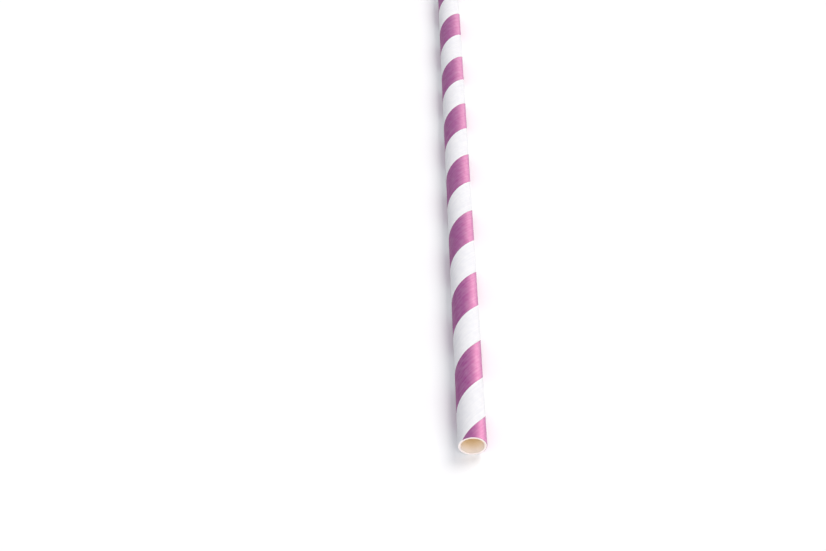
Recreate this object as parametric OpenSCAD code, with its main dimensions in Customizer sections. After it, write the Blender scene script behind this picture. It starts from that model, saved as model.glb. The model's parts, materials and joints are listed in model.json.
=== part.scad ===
// Striped paper drinking straw: one spiral-wound tube, lying along Y with its origin under its middle.
// The paper strips are wound with a right-hand screw, and the inner one leaves a fine open seam in the bore.

/* [Tube] */
// Length from one cut end to the other, mm
length = 197; // [150:1:220]
// Outside diameter, mm
outside_d = 6; // [5.5:0.5:7]
// Thickness of the whole paper wall, mm
wall = 0.5; // [0.42:0.02:0.6]
// Depth of the faint flat that the paper takes along the line it lies on, mm
flat_depth = 0.07; // [0.06:0.01:0.1]

/* [Winding] */
// Width of the paper strip that is wound round the tube, mm
strip_w = 14; // [12:0.5:15]
// Thickness of the printed outer strip, whose edges are glued together, mm
outer_ply = 0.1; // [0.06:0.01:0.14]
// Thickness of the bare inner strip, which is the depth of its seam, mm
inner_ply = 0.16; // [0.1:0.01:0.2]
// Gap between one turn of the inner strip and the next, mm
inner_seam = 0.3; // [0.2:0.05:0.6]
// Where the seam starts at the near end, degrees from the top towards +X
seam_start = -80; // [-180:5:180]

/* [Stripe] */
// Share of the outer strip's width that carries the printed stripe
stripe_share = 0.5; // [0.3:0.05:0.7]
// Where the stripe starts at the near end, degrees from the top towards +X
stripe_start = -46; // [-180:1:180]
// Colour of the printed stripe
stripe_colour = "#b06f9e"; // ["#b06f9e":Purple, "#c0504d":Red, "#4f81bd":Blue, "#5f9e6e":Green]
// Colour of the bleached outer paper
outer_colour = "#f7f5f6"; // ["#f7f5f6":White, "#f3e7cf":Ivory]
// Colour of the unbleached paper at the cut ends and in the bore
inner_colour = "#ead3ba"; // ["#ead3ba":Cream, "#f3eee6":White]

/* [Hidden] */
$fn = 96;
outside_r = outside_d / 2;
bore_r = outside_r - wall;
// Height of the tube's axis above the surface that it lies on
axis_h = outside_r - flat_depth;
outer_ply_r = outside_r - outer_ply;
inner_ply_r = bore_r + inner_ply;
turn_len = PI * outside_d;
// Advance of the winding in one turn, for a strip whose edges meet
pitch = turn_len * strip_w / sqrt(turn_len * turn_len - strip_w * strip_w);
seam_angle = 360 * inner_seam / strip_w;
stripe_end = stripe_start + 360 * stripe_share;
// Cutters run past both cut ends, and past the plies that they cut through
overrun = 1;
cutter_len = length + 2 * overrun;
cutter_slack = 0.2;
reach_r = outside_d;
// Screws are cut in steps
steps_per_turn = 24;
arc_step = 90;
// A step's straight edges dip between its corners, so those on the seam's floor stand out by half the dip
floor_bulge = 2 / (1 + cos(180 / steps_per_turn));

function polar(r, angle) = [r * cos(angle), r * sin(angle)];

// Tube with exact round walls, apart from the flat that it lies on
module ring(r_in, r_out) {
    difference() {
        cylinder(r = r_out, h = length);
        translate([0, 0, -overrun])
            cylinder(r = r_in, h = cutter_len);
        translate([-axis_h - reach_r, -reach_r, -overrun])
            cube([reach_r, 2 * reach_r, cutter_len]);
    }
}

// Screw-shaped sector between two angles, measured at the near end, and two radii
module screw_sector(from_angle, to_angle, r_in, r_out) {
    arcs = ceil((to_angle - from_angle) / arc_step);
    angles = [for (i = [0 : arcs]) from_angle + (to_angle - from_angle) * i / arcs];
    far_side = [for (a = angles) polar(r_out, a)];
    near_side = [for (i = [arcs : -1 : 0]) polar(r_in, angles[i])];
    translate([0, 0, -overrun])
        linear_extrude(
            height = cutter_len,
            twist = -360 * cutter_len / pitch,
            slices = ceil(steps_per_turn * cutter_len / pitch),
            $fn = 3
        )
            rotate(-360 * overrun / pitch)
                polygon(concat(far_side, near_side));
}

// The part of the outer strip that carries print
module stripe_sector() {
    screw_sector(stripe_start, stripe_end, outer_ply_r - cutter_slack, reach_r);
}

// The printed stripe, wound from end to end
module stripe_band() {
    intersection() {
        ring(outer_ply_r, outside_r);
        stripe_sector();
    }
}

// The white paper between the turns of the stripe
module white_band() {
    difference() {
        ring(outer_ply_r, outside_r);
        stripe_sector();
    }
}

// The bare paper inside the outer strip, with the gap between the turns of the inner strip
module inner_tube() {
    difference() {
        ring(bore_r, outer_ply_r);
        screw_sector(seam_start, seam_start + seam_angle, bore_r - cutter_slack, inner_ply_r * floor_bulge);
    }
}

// The glued tube is one piece: bare inner paper, printed stripe and white paper between its turns
module straw() {
    translate([0, -length / 2, axis_h])
        rotate([-90, 0, 0])
            rotate(-90) {
                color(inner_colour)
                    inner_tube();
                color(stripe_colour)
                    stripe_band();
                color(outer_colour)
                    white_band();
            }
}

straw();
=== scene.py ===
"""Striped paper drinking straw: a spiral-wound tube on a white sweep, as a Blender add-on."""

import json
import math
from typing import NamedTuple

import bmesh
import bpy
import numpy as np
from bpy.props import FloatProperty, FloatVectorProperty, PointerProperty
from mathutils import Euler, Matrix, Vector


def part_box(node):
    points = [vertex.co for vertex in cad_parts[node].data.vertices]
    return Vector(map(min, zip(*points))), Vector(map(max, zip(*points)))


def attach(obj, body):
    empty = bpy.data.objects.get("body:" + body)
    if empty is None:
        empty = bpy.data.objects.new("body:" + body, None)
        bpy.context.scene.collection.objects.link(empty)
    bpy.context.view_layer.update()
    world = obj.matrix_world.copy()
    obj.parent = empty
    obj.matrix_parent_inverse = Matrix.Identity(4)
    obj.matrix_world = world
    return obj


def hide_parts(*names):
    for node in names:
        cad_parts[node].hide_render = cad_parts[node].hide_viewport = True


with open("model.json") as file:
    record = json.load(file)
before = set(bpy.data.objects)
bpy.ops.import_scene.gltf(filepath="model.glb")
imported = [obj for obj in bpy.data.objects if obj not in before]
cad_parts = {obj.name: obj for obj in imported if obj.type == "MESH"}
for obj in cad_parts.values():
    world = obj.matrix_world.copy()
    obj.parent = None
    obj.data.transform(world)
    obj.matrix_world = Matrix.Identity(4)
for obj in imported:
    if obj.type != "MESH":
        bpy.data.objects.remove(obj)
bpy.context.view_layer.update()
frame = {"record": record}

bl_info = {
    "name": "Paper Straw",
    "version": (1, 0, 0),
    "blender": (4, 5, 0),
    "location": "3D View > Sidebar > Straw",
    "description": "Winds a striped paper drinking straw and sets it on a white sweep",
    "category": "Object",
}

MM = 0.001
NODE = "straw"
BODY = "root"
LOW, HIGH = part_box(NODE)
MOUNTS = {mount["name"]: mount for mount in frame["record"]["mounts"]}
BORE_RADIUS = MOUNTS["bore"]["dims"]["r_mm"] * MM
OUTSIDE_RADIUS = min(HIGH.x, -LOW.x)
AXIS_HEIGHT = MOUNTS["outside"]["pos_m"][2]


# Sizes and colours


class StrawSizes(bpy.types.PropertyGroup):
    """Sizes of the tube and of the paper strips it is wound from."""

    length: FloatProperty(
        name="Length",
        description="From one cut end to the other",
        default=HIGH.y - LOW.y,
        min=0.02,
        unit="LENGTH",
        precision=4,
    )
    outside_radius: FloatProperty(
        name="Outside Radius",
        description="Radius of the printed paper",
        default=OUTSIDE_RADIUS,
        min=0.001,
        unit="LENGTH",
        precision=5,
    )
    bore_radius: FloatProperty(
        name="Bore Radius",
        description="Radius of the open bore",
        default=BORE_RADIUS,
        min=0.0005,
        unit="LENGTH",
        precision=5,
    )
    strip_width: FloatProperty(
        name="Strip Width",
        description="Width of the paper strip, which sets the pitch of the winding",
        default=14 * MM,
        min=0.002,
        unit="LENGTH",
        precision=4,
    )
    outer_ply: FloatProperty(
        name="Outer Ply",
        description="Thickness of the printed outer strip",
        default=0.1 * MM,
        min=0.00002,
        unit="LENGTH",
        precision=5,
    )
    outer_seam: FloatProperty(
        name="Outer Seam",
        description="Hairline where one turn of the printed strip meets the next",
        default=0.05 * MM,
        min=0.00001,
        unit="LENGTH",
        precision=5,
    )
    inner_ply: FloatProperty(
        name="Inner Ply",
        description="Thickness of the bare strip in the bore",
        default=0.16 * MM,
        min=0.00002,
        unit="LENGTH",
        precision=5,
    )
    inner_seam: FloatProperty(
        name="Inner Seam",
        description="Gap between one turn of the bare strip and the next",
        default=0.3 * MM,
        min=0.00002,
        unit="LENGTH",
        precision=5,
    )
    stripe_share: FloatProperty(
        name="Stripe Share",
        description="Share of the printed strip's width that carries ink",
        default=0.5,
        min=0.1,
        max=0.9,
        subtype="FACTOR",
    )
    stripe_start: FloatProperty(
        name="Stripe Start",
        description="Where the ink starts at the near mouth, from the top towards +X",
        default=math.radians(-46),
        subtype="ANGLE",
        unit="ROTATION",
    )
    seam_start: FloatProperty(
        name="Seam Start",
        description="Where the seam in the bore starts at the near mouth, from the top towards +X",
        default=math.radians(-80),
        subtype="ANGLE",
        unit="ROTATION",
    )
    crimp: FloatProperty(
        name="Crimp",
        description="How far the knife pressed the rim inwards at each cut end",
        default=0.035 * MM,
        min=0.0,
        unit="LENGTH",
        precision=6,
    )
    furrow: FloatProperty(
        name="Furrow",
        description="How far the printed paper sinks over the edges of the strips under it",
        default=0.012 * MM,
        min=0.0,
        unit="LENGTH",
        precision=6,
    )


class StrawColours(bpy.types.PropertyGroup):
    """Colours of the papers, the ink and the sweep."""

    ink: FloatVectorProperty(
        name="Ink",
        description="Printed stripe",
        default=(0.244, 0.051, 0.210),
        min=0.0,
        max=1.0,
        subtype="COLOR",
    )
    white_paper: FloatVectorProperty(
        name="White Paper",
        description="Bleached outer paper",
        default=(0.856, 0.853, 0.854),
        min=0.0,
        max=1.0,
        subtype="COLOR",
    )
    cream_paper: FloatVectorProperty(
        name="Cream Paper",
        description="Bare paper in the bore",
        default=(0.98, 0.79, 0.51),
        min=0.0,
        max=1.0,
        subtype="COLOR",
    )
    # Also the colour of the painted light that makes the bore paler next to each cut end
    cut_paper_and_painted_light: FloatVectorProperty(
        name="Cut Paper",
        description="Cut edge of the wall at both ends, and the scuffed fibres next to it",
        default=(0.98, 0.90, 0.85),
        min=0.0,
        max=1.0,
        subtype="COLOR",
    )
    sweep: FloatVectorProperty(
        name="Sweep",
        description="Floor under the straw",
        default=(0.97, 0.97, 0.97),
        min=0.0,
        max=1.0,
        subtype="COLOR",
    )


# Winding: every surface is a grid of rows along the tube and columns that follow the screw

# Rows of vertices in each turn, and their places next to a cut end, where the rim is rounded
ROWS_PER_TURN = 30
RIM_ROWS = np.array([0.0, 0.012, 0.03, 0.06, 0.11, 0.19, 0.3, 0.45]) * MM
# Angle from one column of vertices to the next
COLUMN = math.radians(5)
# How far in from a cut end the knife's pressure reaches
CRIMP_REACH = 0.45 * MM
# Least downward share of a surface's direction at which the flat is looked for
FLAT_SIDE = 0.5
# Unevenness of the paper: how often each wave goes round, its length along the tube, and its shift
WAVE_TURNS = (1, 2, 3)
WAVE_LENGTHS = (31 * MM, 17 * MM, 9 * MM)
WAVE_SHIFT = 1.7
# Torn fibres of a cut face: width, mean depth, and waves by turn, through the wall and with the end
FIBRE_WIDTH = 0.13 * MM
FIBRE_DEPTH = 0.012 * MM
FIBRE_WAVES = ((61, 2.1, 1), (97, -3.3, 2))
# Edges sharper than this stay sharp in the shading
SHARP_ANGLE = math.radians(40)
# Finishes of a shell: on its outer face, on its inner face and where it is cut
FACE, BACK, CUT = range(3)


class Winding:
    """The screw that all strips follow, with the angles where they start and stop."""

    def __init__(self, sizes):
        self.length = sizes.length
        self.outside = sizes.outside_radius
        self.bore = sizes.bore_radius
        self.under_print = sizes.outside_radius - sizes.outer_ply
        self.inner_ply = sizes.inner_ply
        self.crimp = sizes.crimp
        self.furrow = sizes.furrow
        self.girth = math.tau * self.outside
        width = sizes.strip_width
        self.pitch = self.girth * width / math.sqrt(self.girth**2 - width**2)
        self.coil = math.hypot(self.girth, self.pitch)
        self.ink_from = sizes.stripe_start
        self.ink_to = self.ink_from + math.tau * sizes.stripe_share
        self.white_to = self.ink_from + math.tau - math.tau * sizes.outer_seam / width
        self.seam_from = sizes.seam_start
        self.seam_gap = math.tau * sizes.inner_seam / width
        self.rows = self.row_places()

    def row_places(self):
        """Places of the rows along the tube, close together at both cut ends."""
        inside = self.length - 2 * RIM_ROWS[-1]
        count = round(inside / self.pitch * ROWS_PER_TURN)
        middle = RIM_ROWS[-1] + inside * np.arange(1, count) / count
        return np.concatenate([RIM_ROWS, middle, (self.length - RIM_ROWS)[::-1]])

    def to_end(self, along):
        """Distance to the nearer cut end."""
        return np.minimum(along, self.length - along)

    def pressed(self, along):
        """How far the wall is pressed inwards near a cut end."""
        return self.crimp * np.clip(1 - self.to_end(along) / CRIMP_REACH, 0, 1) ** 2

    def edge_round(self, along, radius):
        """How far a rounded edge has fallen back at this distance from a cut end."""
        short = np.clip(radius - self.to_end(along), 0, radius)
        return radius - np.sqrt(radius**2 - short**2)

    def glue_line(self, turn, along):
        """Radius at which the printed strip lies on the bare tube."""
        return self.under_print - self.pressed(along)

    def angle(self, turn, along):
        """Angle from the top of a place on the winding."""
        return turn + math.tau * along / self.pitch

    def lying(self, turn, along, radius):
        """Radii cut back to the faint flat that the tube lies on."""
        down = np.maximum(-np.cos(self.angle(turn, along)), FLAT_SIDE)
        return np.minimum(radius, AXIS_HEIGHT / down)

    def place(self, angle, along, radius):
        """Points in the part's frame from angles from the top, distances along and radii."""
        return np.stack(
            [
                radius * np.sin(angle),
                along - self.length / 2,
                AXIS_HEIGHT + radius * np.cos(angle),
            ],
            axis=-1,
        )

    def grain(self, turn, along, depth):
        """Coordinates on the flat paper: across the strip, along it and into the wall."""
        across = -self.outside * turn * self.pitch / self.coil
        wound = (self.outside * turn * self.girth + along * self.coil**2 / self.pitch) / self.coil
        return np.stack([across, wound, depth], axis=-1)


def wave(turn, along, seed):
    """Gentle unevenness between 0 and 1, the same in each run."""
    total = np.zeros(np.broadcast(turn, along).shape)
    for i, (whole, length) in enumerate(zip(WAVE_TURNS, WAVE_LENGTHS)):
        total = total + np.sin(whole * turn + math.tau * along / length + seed * (i + WAVE_SHIFT))
    return 0.5 + total / (2 * len(WAVE_TURNS))


def fibres(turn, radius, seed):
    """How far the torn fibres of a cut face lie back from the knife's plane."""
    across = radius / FIBRE_WIDTH
    rough = sum(
        np.sin(whole * turn + through * across + shift * seed)
        for whole, through, shift in FIBRE_WAVES
    )
    return FIBRE_DEPTH * (1 + rough / len(FIBRE_WAVES))


def between(start, stop, step):
    """Evenly spaced angles from start to stop, about a step apart."""
    return np.linspace(start, stop, max(2, round((stop - start) / step) + 1))


def dip(turn, centre, width):
    """A smooth furrow, 1 at its centre, that repeats every turn."""
    off = (turn - centre + math.pi) % math.tau - math.pi
    return np.exp(-((off / width) ** 2))


def wound_shell(name, winding, turns, outer, inner, closed, cut_rings):
    """A closed mesh between two wound surfaces.

    outer and inner give the radius of each surface at (turn, along). A closed shell goes all the
    way round. An open one is a strip with two side walls. cut_rings is the number of rows of
    vertices between the two surfaces on a cut face.
    """
    blocks, grains, depths, faces, kinds = [], [], [], [], []

    def add(turn, along, radius, screw_along):
        """New vertices at these turns, and their numbers in the same grid."""
        turn, along, radius, screw_along = np.broadcast_arrays(turn, along, radius, screw_along)
        first = sum(len(block) for block in blocks)
        angle = winding.angle(turn, screw_along)
        blocks.append(winding.place(angle, along, radius).reshape(-1, 3))
        grains.append(winding.grain(turn, along, winding.outside - radius).reshape(-1, 3))
        depths.append(winding.to_end(along).ravel())
        return first + np.arange(turn.size).reshape(turn.shape)

    def sheet(ids, kind, wrap):
        """Quads over a grid of vertex numbers."""
        here = ids if wrap else ids[:, :-1]
        ahead = np.roll(ids, -1, axis=1) if wrap else ids[:, 1:]
        quads = np.stack([here[:-1], ahead[:-1], ahead[1:], here[1:]], axis=-1).reshape(-1, 4)
        faces.extend(quads.tolist())
        kinds.extend([kind] * len(quads))

    along, turn = winding.rows[:, None], turns[None, :]
    r_out = np.broadcast_to(outer(turn, along), (len(winding.rows), len(turns)))
    r_in = np.broadcast_to(inner(turn, along), r_out.shape)
    face = add(turn, along, r_out, along)
    back = add(turn, along, r_in, along)
    share = (np.arange(cut_rings) + 1)[:, None] / (cut_rings + 1)
    cuts = []
    for row, inwards in ((0, 1), (-1, -1)):
        radius = r_out[row] + (r_in[row] - r_out[row]) * share
        at = winding.rows[row]
        rings = add(turn, at + inwards * fibres(turn, radius, row), radius, at)
        cuts.append(np.concatenate([face[row][None], rings, back[row][None]]))
    sheet(face, FACE, closed)
    sheet(back, BACK, closed)
    for ids in cuts:
        sheet(ids, CUT, closed)
    if not closed:
        near, far = cuts
        for side in (0, -1):
            top, bottom = r_out[1:-1, [side]], r_in[1:-1, [side]]
            radius = top + (bottom - top) * share.T
            inside = add(turns[side], along[1:-1], radius, along[1:-1])
            middle = np.concatenate([near[None, 1:-1, side], inside, far[None, 1:-1, side]])
            wall = np.concatenate([face[:, [side]], middle, back[:, [side]]], axis=1)
            sheet(wall, CUT, False)

    mesh = bpy.data.meshes.new(name)
    mesh.from_pydata(np.concatenate(blocks).tolist(), [], faces)
    mesh.polygons.foreach_set("material_index", kinds)
    grain = mesh.attributes.new("paper_grain", "FLOAT_VECTOR", "POINT")
    grain.data.foreach_set("vector", np.concatenate(grains).astype(np.float32).ravel())
    depth = mesh.attributes.new("from_cut", "FLOAT", "POINT")
    depth.data.foreach_set("value", np.concatenate(depths).astype(np.float32))
    solid = bmesh.new()
    solid.from_mesh(mesh)
    bmesh.ops.recalc_face_normals(solid, faces=solid.faces)
    solid.to_mesh(mesh)
    solid.free()
    mesh.shade_smooth()
    mesh.set_sharp_from_angle(angle=SHARP_ANGLE)
    piece = bpy.data.objects.new(name, mesh)
    bpy.context.scene.collection.objects.link(piece)
    return piece


# Finishes

CLEAR = (1.0, 1.0, 1.0)
# Lengths of the paper's features across the strip, along it and into the wall, and their detail
STREAK_GRAIN = (0.32 * MM, 16 * MM, 0.4 * MM, 3.0)
CLOUD_GRAIN = (1.1 * MM, 1.6 * MM, 0.5 * MM, 4.0)
FIBRE_GRAIN = (0.1 * MM, 0.22 * MM, 0.1 * MM, 4.0)
# Part of each noise's range that is used
STREAK_RANGE = (0.35, 0.72)
CLOUD_RANGE = (0.38, 0.75)
FIBRE_RANGE = (0.25, 0.75)
# Share of the streaks in the tooth, and how far the roughness strays down and up along the fibres
STREAK_TOOTH = 0.4
SMOOTHER, ROUGHER = 0.06, 0.08
# Painted light that makes the bore paler near each cut end: how far it reaches in, and its share at
# the cut
PAINTED_LIGHT_DEPTH = 3.6 * MM
PAINTED_LIGHT_SHARE = 0.95
# Depth of the tooth on printed or bleached paper, and on bare or cut paper
FINE_TOOTH = 0.006 * MM
BARE_TOOTH = 0.008 * MM
# Shades of the flecks, as shares of the paper's colour
WHITE_SHADE = (0.89, 0.895, 0.93)
CREAM_SHADE = (0.95, 0.91, 0.86)
# Paper that shows through thin ink, and ink that the knife dragged over the cut edge
THIN_INK = 0.14
DRAGGED_INK = 0.25
# Colour of the ink's own gloss
INK_GLOSS = (1.0, 0.32, 0.47)
# Colour sockets of a mix node
MIX_A, MIX_B, MIX_OUT = 6, 7, 2


def opaque(colour):
    """A colour with full alpha, as sockets take it."""
    return (*colour, 1.0)


def shaded(colour, shares):
    """A colour with each of its channels scaled."""
    return [c * s for c, s in zip(colour, shares)]


def blended(colour, other, share):
    """A colour on the way to another."""
    return [c + (o - c) * share for c, o in zip(colour, other)]


def node_maker(tree):
    """A function that adds nodes to a tree, with their settings, values and links."""

    def add(kind, inputs=(), **settings):
        node = tree.nodes.new(kind)
        for key, value in settings.items():
            setattr(node, key, value)
        for socket, value in dict(inputs).items():
            if isinstance(value, bpy.types.NodeSocket):
                tree.links.new(value, node.inputs[socket])
            else:
                node.inputs[socket].default_value = value
        return node

    return add


def mixed(add, share, first, second):
    """A socket with a colour between two, each of them a colour or a socket."""
    inputs = {"Factor": share, MIX_A: first, MIX_B: second}
    return add("ShaderNodeMix", inputs, data_type="RGBA").outputs[MIX_OUT]


def finish_tree(name):
    """A new material with its node tree, its shader and a function that adds nodes."""
    material = bpy.data.materials.new(name)
    material.use_nodes = True
    tree = material.node_tree
    return material, tree, tree.nodes["Principled BSDF"], node_maker(tree)


def paper_finish(
    name,
    colour,
    fleck_colour,
    *,
    flecks,
    roughness,
    relief,
    specular,
    gloss_tint=CLEAR,
    painted_light_colour=None,
):
    """Paper or printed paper, with streaks along the winding, cloudy fibres and a fine tooth.

    flecks is the most of the fleck colour that streaks and clouds each bring in, and relief is the
    depth of the tooth. Painted light in a given colour shows at the cut ends and fades into the
    bore.
    """
    material, tree, shader, add = finish_tree(name)
    grain = add("ShaderNodeAttribute", attribute_name="paper_grain").outputs["Vector"]

    def noise(across, wound, depth, detail):
        """Noise whose features have these lengths across the strip, along it and into the wall."""
        scaled = add(
            "ShaderNodeVectorMath",
            {0: grain, 1: (1 / across, 1 / wound, 1 / depth)},
            operation="MULTIPLY",
        ).outputs["Vector"]
        inputs = {"Vector": scaled, "Scale": 1.0, "Detail": detail}
        return add("ShaderNodeTexNoise", inputs).outputs["Fac"]

    def ramp(value, low, high, to_low, to_high, **settings):
        """A value brought from one range to another, and kept inside it."""
        inputs = {"Value": value, "From Min": low, "From Max": high}
        inputs |= {"To Min": to_low, "To Max": to_high}
        return add("ShaderNodeMapRange", inputs, **settings).outputs["Result"]

    def maths(operation, *values):
        """The result of a sum or product of values and sockets."""
        return add("ShaderNodeMath", enumerate(values), operation=operation).outputs[0]

    streaks = noise(*STREAK_GRAIN)
    clouds = noise(*CLOUD_GRAIN)
    fibre = noise(*FIBRE_GRAIN)
    streak_share = ramp(streaks, *STREAK_RANGE, 0.0, flecks)
    cloud_share = ramp(clouds, *CLOUD_RANGE, 0.0, flecks)
    both = maths("ADD", streak_share, cloud_share)
    tint = mixed(add, both, opaque(colour), opaque(fleck_colour))
    # Painted light: the colour turns paler towards each cut end, as if light reached into the bore
    if painted_light_colour:
        depth = add("ShaderNodeAttribute", attribute_name="from_cut").outputs["Fac"]
        share = ramp(depth, 0.0, PAINTED_LIGHT_DEPTH, PAINTED_LIGHT_SHARE, 0.0, interpolation_type="SMOOTHSTEP")
        tint = mixed(add, share, tint, opaque(painted_light_colour))
    tree.links.new(tint, shader.inputs["Base Color"])
    tooth = maths("MULTIPLY_ADD", streaks, STREAK_TOOTH, fibre)
    bump = add("ShaderNodeBump", {"Height": tooth, "Strength": 1.0, "Distance": relief})
    tree.links.new(bump.outputs["Normal"], shader.inputs["Normal"])
    rough = ramp(fibre, *FIBRE_RANGE, roughness - SMOOTHER, roughness + ROUGHER)
    tree.links.new(rough, shader.inputs["Roughness"])
    shader.inputs["Specular IOR Level"].default_value = specular
    shader.inputs["Specular Tint"].default_value = opaque(gloss_tint)
    return material


def white_paper_finish(colours):
    """Bleached paper with faint grey streaks."""
    return paper_finish(
        "white paper",
        colours.white_paper,
        shaded(colours.white_paper, WHITE_SHADE),
        flecks=0.5,
        roughness=0.70,
        relief=FINE_TOOTH,
        specular=0.05,
    )


def ink_finish(colours):
    """Purple ink on bleached paper, thinner along the streaks of the paper."""
    return paper_finish(
        "purple print",
        colours.ink,
        blended(colours.ink, colours.white_paper, THIN_INK),
        flecks=0.5,
        roughness=0.60,
        relief=FINE_TOOTH,
        specular=0.8,
        gloss_tint=INK_GLOSS,
    )


def cut_finish(colours):
    """Cut edge of the wall, with a little of the ink that the knife dragged over it."""
    return paper_finish(
        "cut edge",
        colours.cut_paper_and_painted_light,
        blended(colours.cut_paper_and_painted_light, colours.ink, DRAGGED_INK),
        flecks=0.3,
        roughness=0.75,
        relief=BARE_TOOTH,
        specular=0.2,
    )


def cream_paper_finish(colours):
    """Bare paper in the bore, with darker fibres and painted light that makes it paler near each
    cut end.
    """
    return paper_finish(
        "cream paper",
        colours.cream_paper,
        shaded(colours.cream_paper, CREAM_SHADE),
        flecks=0.45,
        roughness=0.75,
        relief=BARE_TOOTH,
        specular=0.2,
        painted_light_colour=colours.cut_paper_and_painted_light,
    )


# Pieces

# Roundings of the cut ends, where the knife came in and where it left the wall
OUTER_ROUND = 0.06 * MM
INNER_ROUND = 0.05 * MM
# Rows of vertices on the cut faces of the bare tube and of the printed strip
TUBE_RINGS = 5
BAND_RINGS = 2
# Edge of the seam in the bore: columns by lips from the edge, and the share of the depth at each
SEAM_LIP = math.radians(0.5)
SEAM_EDGE = ((-3, 0.0), (-1, 0.0), (0, 0.12), (1, 0.9))
# Height of the waves in the bore and on the print, and what sets them apart
BORE_WAVE, BORE_SEED = 0.01 * MM, 3
PRINT_WAVE, PRINT_SEED = 0.008 * MM, 1
# Edge of the printed strip: columns by angle from its seam, and how far the last one falls
EDGE_COLUMNS = np.array([0.0, 0.7, 1.6, 3.0]) * math.radians(0.4)
EDGE_FALL = 0.02 * MM
# Furrows in the print: turn from the seam in the bore, width in turn and share of the full depth
FURROWS = ((0.0, 0.06, 1.0), (2.2, 0.09, 0.5))


def seat(piece, finishes):
    """Dress a piece and tie it to the part."""
    for finish in finishes:
        piece.data.materials.append(finish)
    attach(piece, BODY)
    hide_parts(NODE)


class STRAW_OT_inner_tube(bpy.types.Operator):
    """Wind the bare inner tube, with the seam that shows in the bore"""

    bl_idname = "straw.inner_tube"
    bl_label = "Wind Inner Tube"
    bl_options = {"REGISTER", "UNDO"}

    def execute(self, context):
        winding = Winding(context.scene.straw_sizes)
        colours = context.scene.straw_colours
        start, stop = winding.seam_from, winding.seam_from + winding.seam_gap
        places, falls = zip(*SEAM_EDGE)
        down = [start + place * SEAM_LIP for place in places]
        up = [stop - place * SEAM_LIP for place in reversed(places)]
        seam = [*down, start + winding.seam_gap / 2, *up]
        plain = between(seam[-1], seam[0] + math.tau, COLUMN)[1:-1]
        turns = np.concatenate([seam, plain])
        depth = np.zeros(len(turns))
        depth[: len(seam)] = np.array([*falls, 1.0, *reversed(falls)]) * winding.inner_ply

        def inner(turn, along):
            bulge = BORE_WAVE * wave(turn, along, BORE_SEED)
            soft = winding.edge_round(along, INNER_ROUND)
            return winding.bore + depth[None, :] + bulge - winding.pressed(along) + soft

        tube = wound_shell(
            "straw_inner_tube", winding, turns, winding.glue_line, inner, True, TUBE_RINGS
        )
        finishes = (white_paper_finish(colours), cream_paper_finish(colours), cut_finish(colours))
        seat(tube, finishes)
        return {"FINISHED"}


class STRAW_OT_outer_bands(bpy.types.Operator):
    """Wind the printed strip round the tube, as its inked band and its white band"""

    bl_idname = "straw.outer_bands"
    bl_label = "Wind Outer Bands"
    bl_options = {"REGISTER", "UNDO"}

    def execute(self, context):
        winding = Winding(context.scene.straw_sizes)
        colours = context.scene.straw_colours
        over_seam = winding.seam_from + winding.seam_gap / 2
        first, last = winding.ink_from, winding.white_to
        edge = EDGE_COLUMNS[-1]

        def outer(turn, along):
            furrows = sum(
                share * dip(turn, over_seam + place, width) for place, width, share in FURROWS
            )
            sunk = winding.furrow * furrows + PRINT_WAVE * wave(turn, along, PRINT_SEED)
            to_seam = np.minimum(turn - first, last - turn)
            sunk = sunk + EDGE_FALL * np.clip(1 - to_seam / edge, 0, 1) ** 2
            soft = winding.edge_round(along, OUTER_ROUND)
            radius = winding.outside - sunk - winding.pressed(along) - soft
            return winding.lying(turn, along, radius)

        inked = between(first + edge, winding.ink_to, COLUMN)
        inked = np.concatenate([first + EDGE_COLUMNS[:-1], inked])
        white = between(winding.ink_to, last - edge, COLUMN)
        white = np.concatenate([white, last - EDGE_COLUMNS[-2::-1]])
        ink, paper = ink_finish(colours), white_paper_finish(colours)
        cut = cut_finish(colours)
        for name, turns, print_finish, slot in (
            ("straw_purple_band", inked, ink, "purple_print"),
            ("straw_white_band", white, paper, "white_paper"),
        ):
            band = wound_shell(name, winding, turns, outer, winding.glue_line, False, BAND_RINGS)
            seat(band, (print_finish, paper, cut))
        return {"FINISHED"}


# Stage


class Lamp(NamedTuple):
    """A soft sun lamp: its level, its spread in degrees, its colour and where it comes from.

    Lamps without shadows stand for light that comes through the thin paper. A gloss lamp leaves
    the paper as it is and only glances off the satin ink.
    """

    name: str
    level: float
    spread: float
    colour: tuple
    source: tuple
    shadows: bool = True
    gloss_only: bool = False


GLOW_COLOUR = (1.0, 0.98, 0.945)
LAMPS = (
    Lamp("key", 0.50, 36.0, (1.0, 0.97, 0.93), (0.47, 0.45, 0.76)),
    Lamp("front", 0.22, 50.0, (1.0, 0.985, 0.965), (0.0, -0.62, 0.78)),
    Lamp("glow left", 0.24, 60.0, GLOW_COLOUR, (-0.60, -0.65, 0.46), shadows=False),
    Lamp("glow right", 0.31, 60.0, GLOW_COLOUR, (0.60, -0.65, 0.46), shadows=False),
    Lamp("edge", 4.80, 44.0, CLEAR, (0.90, 0.27, 0.34), gloss_only=True),
)
# Surroundings and sweep as sources of light, and the surroundings as they are seen
WORLD_LIGHT = (0.27, 0.28, 0.33)
SWEEP_LIGHT = (0.74, 0.74, 0.75)
WORLD_SEEN = (1.0, 1.0, 1.0)
# The sweep reaches this far from the middle, just under the straw
SWEEP_REACH = 4.0
SWEEP_HEIGHT = -0.01 * MM
SWEEP_CORNERS = ((-1, -1), (1, -1), (1, 1), (-1, 1))
# Camera at the photograph's viewing angle, with its lens and sensor in mm
CAMERA_PLACE = Vector((-0.01362, -0.25179, 0.20696))
CAMERA_TURN = math.radians(0.590)
CAMERA_DOWN = math.radians(45.298)
CAMERA_LENS = 54.576
CAMERA_SENSOR = 36.0
CAMERA_CLIP = (0.01, 20.0)


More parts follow.
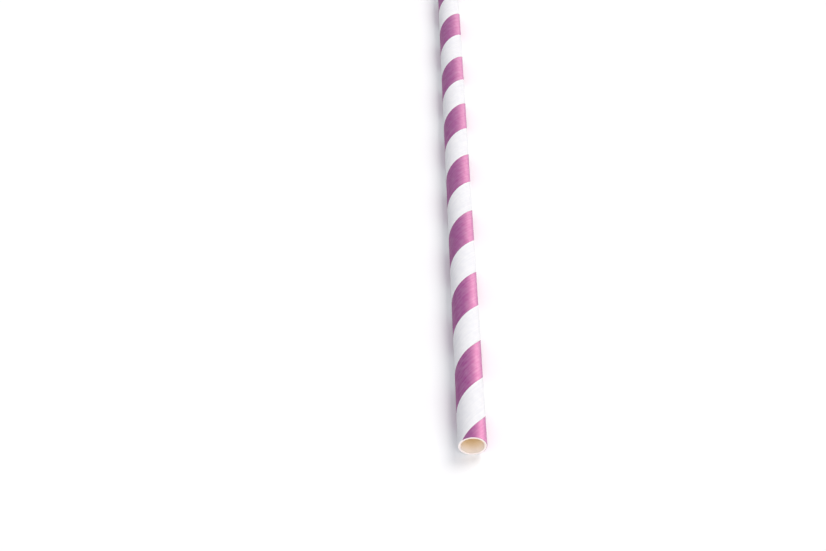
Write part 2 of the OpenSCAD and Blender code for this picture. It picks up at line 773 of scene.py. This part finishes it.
def backdrop_tint(add, seen_colour, light_colour):
    """One colour to the camera and in reflections, and another as a source of light."""
    path = add("ShaderNodeLightPath").outputs
    seen = path["Is Camera Ray"]
    for ray in ("Is Glossy Ray", "Is Transmission Ray"):
        seen = add("ShaderNodeMath", {0: seen, 1: path[ray]}, operation="MAXIMUM").outputs[0]
    return mixed(add, seen, opaque(light_colour), opaque(seen_colour))


def sweep_finish(colours):
    """White sweep: as written to the camera, a little greyer as a reflector."""
    material, tree, shader, add = finish_tree("white sweep")
    tint = backdrop_tint(add, colours.sweep, SWEEP_LIGHT)
    tree.links.new(tint, shader.inputs["Base Color"])
    shader.inputs["Roughness"].default_value = 1.0
    shader.inputs["Specular IOR Level"].default_value = 0.0
    return material


def lay_sweep(scene):
    """The white floor under the straw."""
    corners = [(x * SWEEP_REACH, y * SWEEP_REACH, SWEEP_HEIGHT) for x, y in SWEEP_CORNERS]
    mesh = bpy.data.meshes.new("sweep")
    mesh.from_pydata(corners, [], [(0, 1, 2, 3)])
    mesh.materials.append(sweep_finish(scene.straw_colours))
    sweep = bpy.data.objects.new("sweep", mesh)
    scene.collection.objects.link(sweep)


def hang_lamps(scene):
    """Soft sun lamps. At a level of 1, a surface that faces a lamp renders as it is written."""
    for lamp in LAMPS:
        light = bpy.data.lights.new(lamp.name, "SUN")
        light.energy = lamp.level * math.pi
        light.angle = math.radians(lamp.spread)
        light.color = lamp.colour
        light.use_shadow = lamp.shadows
        fixture = bpy.data.objects.new(lamp.name, light)
        fixture.rotation_euler = Vector(lamp.source).to_track_quat("Z", "Y").to_euler()
        fixture.visible_diffuse = not lamp.gloss_only
        scene.collection.objects.link(fixture)


def studio_world():
    """Even surroundings, seen as white, and dimmer and slightly cool as light."""
    world = bpy.data.worlds.new("studio")
    world.use_nodes = True
    tree = world.node_tree
    shell = tree.nodes["Background"]
    tint = backdrop_tint(node_maker(tree), WORLD_SEEN, WORLD_LIGHT)
    tree.links.new(tint, shell.inputs["Color"])
    shell.inputs["Strength"].default_value = 1.0
    return world


def set_camera(scene):
    """The camera that the scene is rendered with."""
    lens = bpy.data.cameras.new("camera")
    lens.lens = CAMERA_LENS
    lens.sensor_width = CAMERA_SENSOR
    lens.sensor_fit = "HORIZONTAL"
    lens.clip_start, lens.clip_end = CAMERA_CLIP
    camera = bpy.data.objects.new("camera", lens)
    camera.location = CAMERA_PLACE
    camera.rotation_euler = Euler((math.pi / 2 - CAMERA_DOWN, 0.0, -CAMERA_TURN))
    scene.collection.objects.link(camera)
    scene.camera = camera


class STRAW_OT_stage(bpy.types.Operator):
    """Set up the white sweep, the soft light and the camera"""

    bl_idname = "straw.stage"
    bl_label = "Set Up Stage"
    bl_options = {"REGISTER", "UNDO"}

    def execute(self, context):
        scene = context.scene
        lay_sweep(scene)
        hang_lamps(scene)
        scene.world = studio_world()
        set_camera(scene)
        scene.view_settings.view_transform = "Standard"
        return {"FINISHED"}


# Add-on


class STRAW_PT_panel(bpy.types.Panel):
    """Sizes, colours and steps of the straw"""

    bl_idname = "STRAW_PT_panel"
    bl_label = "Paper Straw"
    bl_space_type = "VIEW_3D"
    bl_region_type = "UI"
    bl_category = "Straw"

    def draw(self, context):
        for group in (context.scene.straw_sizes, context.scene.straw_colours):
            column = self.layout.column()
            for name in group.__annotations__:
                column.prop(group, name)
        for step in STEPS:
            self.layout.operator(step.bl_idname)


STEPS = (STRAW_OT_inner_tube, STRAW_OT_outer_bands, STRAW_OT_stage)
CLASSES = (StrawSizes, StrawColours, *STEPS, STRAW_PT_panel)


def register():
    """Add the classes and the scene's sizes and colours."""
    for cls in CLASSES:
        bpy.utils.register_class(cls)
    bpy.types.Scene.straw_sizes = PointerProperty(type=StrawSizes)
    bpy.types.Scene.straw_colours = PointerProperty(type=StrawColours)


def unregister():
    """Take the sizes, the colours and the classes away again."""
    del bpy.types.Scene.straw_colours
    del bpy.types.Scene.straw_sizes
    for cls in reversed(CLASSES):
        bpy.utils.unregister_class(cls)


def main():
    """Make the straw and its stage."""
    register()
    bpy.ops.straw.inner_tube()
    bpy.ops.straw.outer_bands()
    bpy.ops.straw.stage()
    bpy.context.view_layer.update()


if __name__ == "__main__":
    main()
